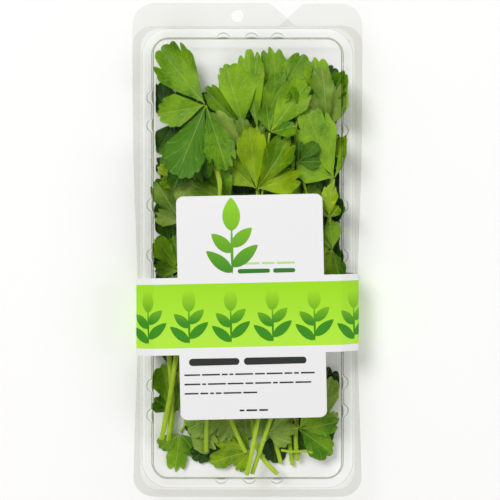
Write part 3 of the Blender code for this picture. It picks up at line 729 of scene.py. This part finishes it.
# The side of the wall, as its outward x and y: where its flutes stand along it.
FLUTES = {
    (-1, 0): [76.0, 62.0, 22.5, -2.5, -67.5, -82.5],
    (1, 0): [73.5, 59.5, 22.0, -3.0, -66.0, -80.0],
    (0, 1): [-12.0, 2.0, 15.0],
    (0, -1): [-13.0, 1.0, 14.5],
}
FLUTE_RADIUS = 3.2
FLUTE_SWELL = 0.75  # how far a flute stands out, as a share of its radius


def flute(point, normal):
    """How far a flute stands out of the lid's wall here."""
    for (side_x, side_y), places in FLUTES.items():
        if normal.x * side_x + normal.y * side_y < 0.999:
            continue
        along = point.y if side_x else point.x
        nearest = min(abs(along - place) for place in places)
        if nearest < FLUTE_RADIUS:
            return FLUTE_SWELL * math.sqrt(FLUTE_RADIUS**2 - nearest**2)
    return 0.0


# Fully clear like the tray's walls and floor, to lift the shade in the cavity: painted light.
lid_pet = clear_pet("clear_pet_lid", 0.15, "#FFFFFF")
# At a sharp turn the sheet bends what is seen through it, which shows as a thin grey-green line.
bend_pet = clear_pet("clear_pet_bend", 0.05, "#C4C9BA")
face_rim = rim_stations(47.3, 109.4, -4.1, 8.0, 0.7)
hang_hole = arc(-5.0, 117.0, 3.1, 0, 345, 23)
lid_mesh = formed_shell(
    face_rim,
    [
        (-1.3, 25.7, 0),
        (-0.85, 25.66, 0),
        (-0.6, 25.5, 0.1),
        (-0.45, 25.2, 0.3),
        (0.0, 23.9, 0.7),
        (0.3, 22.7, 1.0),
        (0.42, 22.38, 1.0),
        (0.65, 22.22, 1.0),
        (0.95, 22.2, 0.95),
        (4.7, 22.2, 0),
        (5.1, 22.12, 0),
        (5.28, 21.85, 0),
        (5.42, 20.95, 0),
        (5.6, 20.68, 0),
        (6.0, 20.6, 0),
    ],
    flange_border(-45.0, 11.5),
    hang_hole,
    bulge=flute,
    bends=(2, 3, 6, 7, 13),
)
lid_shell = finish_piece("lid_shell", lid_mesh, lid_pet, "lid", ["lid"], SHEET_MM, 25)
lid_shell.data.materials.append(flange_pet)
lid_shell.data.materials.append(bend_pet)

# ------------------------------------------------------------------------------------------- Fold
# The tray and the lid are one sheet: along the pack's lower end a thin strip joins their flanges,
# where the sheet folds as the lid opens. Here the strip is fixed, half round, and rides on neither half.
FOLD_Y, FOLD_Z, FOLD_HALF = -123.35, 20.15, 45.0
FOLD_OUT, FOLD_RISE = 0.4, 0.42  # the strip's half-round section
fold = bmesh.new()
bmesh.ops.create_grid(fold, x_segments=30, y_segments=8, size=1.0)
for vert in fold.verts:
    swing = math.pi / 2 * vert.co.y
    vert.co = (
        vert.co.x * FOLD_HALF * MM,
        (FOLD_Y - FOLD_OUT * math.cos(swing)) * MM,
        (FOLD_Z + FOLD_RISE * math.sin(swing)) * MM,
    )
fold_strip = finish_piece("fold_strip", fold, flange_pet, None)
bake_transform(fold_strip)

# ------------------------------------------------------------------------------------------- Label
# A cross of coated paper stuck on slightly askew: a panel on the lid's face, and a band that runs
# over the sides and round the flange onto the tray's walls. It is slit at the sides, level with the
# fold, as when the pack is first opened.
PAPER_MM = 0.2
LABEL_MIDDLE = Vector((2.0, -31.0, 0.0))
LABEL_TURN = math.radians(1.25)
PANEL = (-34.2, -83.5, 38.3, 27.2)  # its left, bottom, right and top
BAND = (-51.3, -13.0)  # its lower and upper edges
LIME_BAND = (-47.9, -16.2)
# The paper's section as (x, z), from the middle of the face to the foot of the tray's wall.
SECTION = [(0.0, 26.4), (44.6, 26.4), (45.4, 26.39), (46.2, 26.32), (46.9, 26.05), (47.6, 25.65)]
SECTION += [(54.0, 22.0), (54.8, 21.45), (55.35, 20.9), (55.5, 20.35)]
SECTION += [(55.5, 19.95), (55.5, 19.2), (49.25, 2.45)]
BENDS = []
reach = 0.0
for inner, outer in zip(SECTION, SECTION[1:]):
    BENDS.append((reach, Vector(inner), (Vector(outer) - Vector(inner)).normalized()))
    reach += (Vector(outer) - Vector(inner)).length
LABEL_END, TAIL_START, TAIL_END = BENDS[9][0], BENDS[10][0], reach


def cut(bm, point, outwards, keep_inside=False):
    """Cuts the mesh at a point. What lies outwards of the cut goes, if so asked."""
    bmesh.ops.bisect_plane(
        bm,
        geom=bm.verts[:] + bm.edges[:] + bm.faces[:],
        dist=0.001,
        plane_co=point,
        plane_no=outwards,
        clear_outer=keep_inside,
    )


def cut_across(bm, x, side, keep_inside):
    """Cuts the label across at x; side, -1 or 1, says which way is outwards."""
    cut(bm, (x, 0, 0), (side, 0, 0), keep_inside)


def part_lime_band(bm):
    """Parts the lime stripe from the white along the band, as the label's second material."""
    for y in LIME_BAND:
        cut(bm, (0, y, 0), (0, 1, 0))
    for face in bm.faces:
        face.material_index = int(LIME_BAND[0] < face.calc_center_median().y < LIME_BAND[1])


def wrap_round_pack(bm, lift=0.0):
    """Bends a flat piece of the label round the pack. lift is how far print stands on the paper."""
    for side in (-1, 1):
        for start, _, _ in BENDS[1:]:
            cut_across(bm, side * start, side, False)
    for vert in bm.verts:
        flat = abs(vert.co.x)
        start, corner, along = [bend for bend in BENDS if bend[0] <= flat + 0.0005][-1]
        spot = corner + along * (flat - start) + Vector((-along.y, along.x)) * (lift + vert.co.z)
        vert.co = (math.copysign(spot.x, vert.co.x) * MM, vert.co.y * MM, spot.y * MM)


def turn_label(bm):
    """Turns a flat piece of the label, or its print, by the angle at which it was stuck on."""
    bmesh.ops.rotate(bm, verts=bm.verts, cent=LABEL_MIDDLE, matrix=Matrix.Rotation(LABEL_TURN, 3, "Z"))


def coated_paper(name, upper, lower, from_y, to_y):
    """Coated label paper, printed: a soft sheen and a faint felt texture under ink whose colour
    runs from lower to upper between two heights on the label, in millimetres."""
    made, tree, output = new_material(name)
    place = add(tree, "ShaderNodeTexCoord").outputs["Object"]
    height = add(tree, "ShaderNodeSeparateXYZ", links={"Vector": place}).outputs["Y"]
    heights = {"From Min": from_y * MM, "From Max": to_y * MM}
    ramp = add(tree, "ShaderNodeMapRange", heights, {"Value": height})
    ink = add(
        tree,
        "ShaderNodeMix",
        {"A": colour(lower), "B": colour(upper)},
        {"Factor": ramp.outputs["Result"]},
        data_type="RGBA",
    )
    # The felt's fibres are about 0.4 mm apart.
    felt = add(tree, "ShaderNodeTexNoise", {"Scale": 2500.0, "Detail": 2.0}, {"Vector": place})
    bump = add(
        tree,
        "ShaderNodeBump",
        {"Strength": 0.25, "Distance": 0.02 * MM},
        {"Height": felt.outputs["Fac"]},
    )
    paper = add(
        tree,
        "ShaderNodeBsdfPrincipled",
        {"Roughness": 0.55, "IOR": 1.4},
        {"Base Color": ink.outputs["Result"], "Normal": bump.outputs["Normal"]},
    )
    tree.links.new(paper.outputs["BSDF"], output.inputs["Surface"])
    return made


white_paper = coated_paper("coated_paper_white", "#F0EFF1", "#EEEDEF", -84, 27)
lime_paper = coated_paper("coated_paper_lime", "#B4EC3A", "#9FE010", -17, -44)
left, bottom, right, top = PANEL
band_low, band_high = BAND
PANEL_CORNER = 3.5
BLANK_REACH = 60.0  # the blank's band is longer than the label's and is cut to length once turned
outline = []
for x, y, start in ((left, bottom, 180), (right, bottom, 270), (right, top, 0), (left, top, 90)):
    inward_x = x + math.copysign(PANEL_CORNER, left + right - 2 * x)
    inward_y = y + math.copysign(PANEL_CORNER, bottom + top - 2 * y)
    outline += arc(inward_x, inward_y, PANEL_CORNER, start, start + 90, 8)
    if start == 270:
        outline += [Vector((right, band_low)), Vector((BLANK_REACH, band_low))]
        outline += [Vector((BLANK_REACH, band_high)), Vector((right, band_high))]
outline += [Vector((left, band_high)), Vector((-BLANK_REACH, band_high))]
outline += [Vector((-BLANK_REACH, band_low)), Vector((left, band_low))]
label = bmesh.new()
loop = bmesh.ops.create_circle(label, segments=len(outline), radius=1.0)["verts"]
for vert, spot in zip(loop, outline):
    vert.co = spot.to_3d()
bmesh.ops.triangle_fill(label, edges=label.edges[:], use_beauty=True)
part_lime_band(label)
turn_label(label)
for side in (-1, 1):
    cut_across(label, side * LABEL_END, side, True)
wrap_round_pack(label)
bmesh.ops.recalc_face_normals(label, faces=label.faces)
if sum(face.normal.z for face in label.faces) < 0:
    bmesh.ops.reverse_faces(label, faces=label.faces)
label_paper = finish_piece(
    "label_cross", label, white_paper, "lid", ["label"], sheet_mm=PAPER_MM
)
label_paper.data.materials.append(lime_paper)
label_paper.modifiers["sheet"].material_offset = -1  # the back is bare paper

for name, side in (("label_tail_left", -1), ("label_tail_right", 1)):
    tail = bmesh.new()
    bmesh.ops.create_grid(tail, x_segments=1, y_segments=12, size=1.0)
    for vert in tail.verts:
        # The blank is 1 mm longer than the tail at each end and is cut to length once turned.
        x = side * (TAIL_START + (TAIL_END + 2 - TAIL_START) * (vert.co.x + 1) / 2 - 1)
        vert.co = (x, band_low + (band_high - band_low) * (vert.co.y + 1) / 2, 0)
    part_lime_band(tail)
    turn_label(tail)
    cut_across(tail, side * TAIL_START, -side, True)
    cut_across(tail, side * TAIL_END, side, True)
    wrap_round_pack(tail)
    bmesh.ops.recalc_face_normals(tail, faces=tail.faces)
    if sum(face.normal.x * side for face in tail.faces) < 0:
        bmesh.ops.reverse_faces(tail, faces=tail.faces)
    piece = finish_piece(
        f"{name}_paper", tail, white_paper, "tray", [name], sheet_mm=PAPER_MM
    )
    piece.data.materials.append(lime_paper)
    piece.modifiers["sheet"].material_offset = -1

# ------------------------------------------------------------------------------------ Label's print
# Ink on the label: a plain sprig of rounded leaves on the panel, a row of the same sprigs along the
# lime band, and plain rules where a packer's words would be. There is no lettering.
INK_MM = 0.03
PRINT_LIFT = PAPER_MM / 2 + 0.04
LEAF_COLUMNS, LEAF_ROWS = 6, 14
LAYERS, LAYER_MM = 6, 0.008  # leaves that overlap are printed at slightly different heights


def printed_leaf(bm, foot, direction, length, width):
    """A rounded leaf that starts at foot and points in a direction, in degrees."""
    number = len(bm.faces) // (LEAF_COLUMNS * LEAF_ROWS)
    before = set(bm.verts)
    bmesh.ops.create_grid(bm, x_segments=LEAF_COLUMNS, y_segments=LEAF_ROWS, size=1.0)
    along = Vector((math.cos(math.radians(direction)), math.sin(math.radians(direction)), 0))
    across = Vector((along.y, -along.x, 0))
    for vert in set(bm.verts) - before:
        out = (vert.co.y + 1) / 2
        half = 0.02 + width / 2 * math.sin(math.pi * out**0.85) ** 0.75
        vert.co = foot + along * (out * length) + across * (vert.co.x * half)
        vert.co.z = number % LAYERS * LAYER_MM


def printed_sprig(bm, foot, size):
    """A stalk with a leaf at its tip and two pairs of rounded leaves."""
    printed_leaf(bm, foot, 90, 0.7 * size, 0.035 * size)
    printed_leaf(bm, foot + Vector((0, 0.56, 0)) * size, 90, 0.44 * size, 0.23 * size)
    for height, spread, length in ((0.06, 50, 0.44), (0.32, 47, 0.36)):
        for side in (-1, 1):
            start = foot + Vector((0, height + 0.035 * side, 0)) * size
            printed_leaf(bm, start, 90 - side * spread, length * size, 0.165 * size)


def print_on_label(name, bm, ink):
    """Lays flat print on the turned label and bends it round the pack."""
    turn_label(bm)
    for side in (-1, 1):
        cut_across(bm, side * LABEL_END, side, True)
    wrap_round_pack(bm, PRINT_LIFT)
    bmesh.ops.remove_doubles(bm, verts=bm.verts, dist=0.0005 * MM)
    for face in bm.faces:
        if face.normal.z < 0:
            face.normal_flip()
    finish_piece(name, bm, ink, "lid", sheet_mm=INK_MM)


panel_ink = coated_paper("printed_ink_panel_green", "#8FCE1C", "#3F8E14", -10, 22)
band_ink = coated_paper("printed_ink_band_green", "#A2E019", "#358D04", -36, -20)
dark_ink = coated_paper("printed_ink_dark_green", "#2E7A1C", "#2E7A1C", -84, 27)
pale_ink = coated_paper("printed_ink_pale_green", "#BFE08A", "#BFE08A", -84, 27)
black_ink = coated_paper("printed_ink_black", "#262A26", "#262A26", -84, 27)

big_sprig = bmesh.new()
printed_sprig(big_sprig, Vector((-7.0, -11.8, 0)), 38.0)
print_on_label("print_panel_sprig", big_sprig, panel_ink)

SPRIG_PITCH = 20.7
sprig_row = bmesh.new()
for number in range(-3, 4):
    printed_sprig(sprig_row, Vector((-8.3 + SPRIG_PITCH * number, -45.8, 0)), 28.0)
print_on_label("print_band_sprigs", sprig_row, band_ink)

# Each rule: its left end, its middle's height, its own height, and the lengths of its dashes.
RULES = {
    "print_upper_rule_pale": (pale_ink, [(-1.4, -6.6, 1.1, [8, 6.5, 9])]),
    "print_upper_rule_dark": (dark_ink, [(-4.4, -10.4, 2.2, [16, 11])]),
    "print_heading_rule": (black_ink, [(-29.5, -55.0, 3.6, [25, 31])]),
    "print_lower_rules": (
        black_ink,
        [
            (-32.0, -61.3, 0.8, [8, 9, 3, 2, 9, 5, 8, 4, 2.5, 7]),
            (-32.0, -65.9, 0.8, [8, 2, 9, 8, 4, 8, 2.5, 7, 8]),
            (-32.0, -70.5, 0.8, [7, 4, 2, 3, 9, 7]),
            (-5.0, -79.3, 0.9, [2.5, 5.5, 4.5]),
        ],
    ),
}
for name, (ink, rules) in RULES.items():
    bm = bmesh.new()
    for left_end, middle, height, dashes in rules:
        x = left_end
        for dash in dashes:
            before = set(bm.verts)
            bmesh.ops.create_circle(bm, cap_ends=True, segments=16, radius=height / 2)
            for vert in set(bm.verts) - before:
                stretch = dash - height if vert.co.x > 0 else 0.0
                vert.co += Vector((x + height / 2 + stretch, middle, 0))
            x += dash + 0.5 * height + 0.4
    print_on_label(name, bm, ink)

# ----------------------------------------------------------------------------------------- Stage
# A plain white table, soft light from both long sides and the ends, and a camera that looks straight
# down from about 0.6 m and takes in 250 mm at the height of the flange.
FLANGE_Z, VIEW_WIDTH = 0.0206, 0.25
table_mesh = bmesh.new()
bmesh.ops.create_grid(table_mesh, x_segments=1, y_segments=1, size=3.0)
table = bpy.data.objects.new("table", bpy.data.meshes.new("table"))
table_mesh.to_mesh(table.data)
table_mesh.free()
bpy.context.scene.collection.objects.link(table)
matt_white, tree, output = new_material("matt_white_table")
surface = add(tree, "ShaderNodeBsdfPrincipled", {"Base Color": colour("#FFFFFF"), "Roughness": 0.9})
tree.links.new(surface.outputs["BSDF"], output.inputs["Surface"])
table.data.materials.append(matt_white)

for name, place, size, watts in (
    ("light_left", (-1.2, 1.35, 2.7), 1.3, 53.0),
    ("light_right", (2.6, 0.2, 1.9), 1.6, 19.0),
    ("light_top_end", (0.2, 2.9, 1.6), 1.6, 15.0),
    ("light_fold_end", (-0.3, -2.8, 1.9), 1.6, 13.0),
):
    lamp = bpy.data.lights.new(name, "AREA")
    lamp.energy = watts
    lamp.size = size
    made = bpy.data.objects.new(name, lamp)
    made.location = place
    made.rotation_euler = (Vector((0, 0, 0)) - Vector(place)).to_track_quat("-Z", "Y").to_euler()
    bpy.context.scene.collection.objects.link(made)

world = bpy.data.worlds.new("soft_room")
world.use_nodes = True
tree = world.node_tree
sky = tree.nodes["Background"]
sky.inputs["Color"].default_value = colour("#FBFAF6")
heading = add(tree, "ShaderNodeTexCoord").outputs["Generated"]
up = add(tree, "ShaderNodeSeparateXYZ", links={"Vector": heading})
fade = {"From Min": 0.1, "From Max": 1.0, "To Min": 0.34, "To Max": 0.41}
dimmer = add(tree, "ShaderNodeMapRange", fade, {"Value": up.outputs["Z"]})
tree.links.new(dimmer.outputs["Result"], sky.inputs["Strength"])
bpy.context.scene.world = world

camera = bpy.data.objects.new("camera", bpy.data.cameras.new("camera"))
camera.data.lens = 85.0
camera.data.sensor_width = 36.0
camera.data.clip_start = 0.01
distance = VIEW_WIDTH * camera.data.lens / camera.data.sensor_width
camera.location = (0.00125, 0.0, FLANGE_Z + distance)
bpy.context.scene.collection.objects.link(camera)
bpy.context.scene.camera = camera
bpy.context.scene.view_settings.view_transform = "Standard"
bpy.context.scene.cycles.transparent_max_bounces = 32
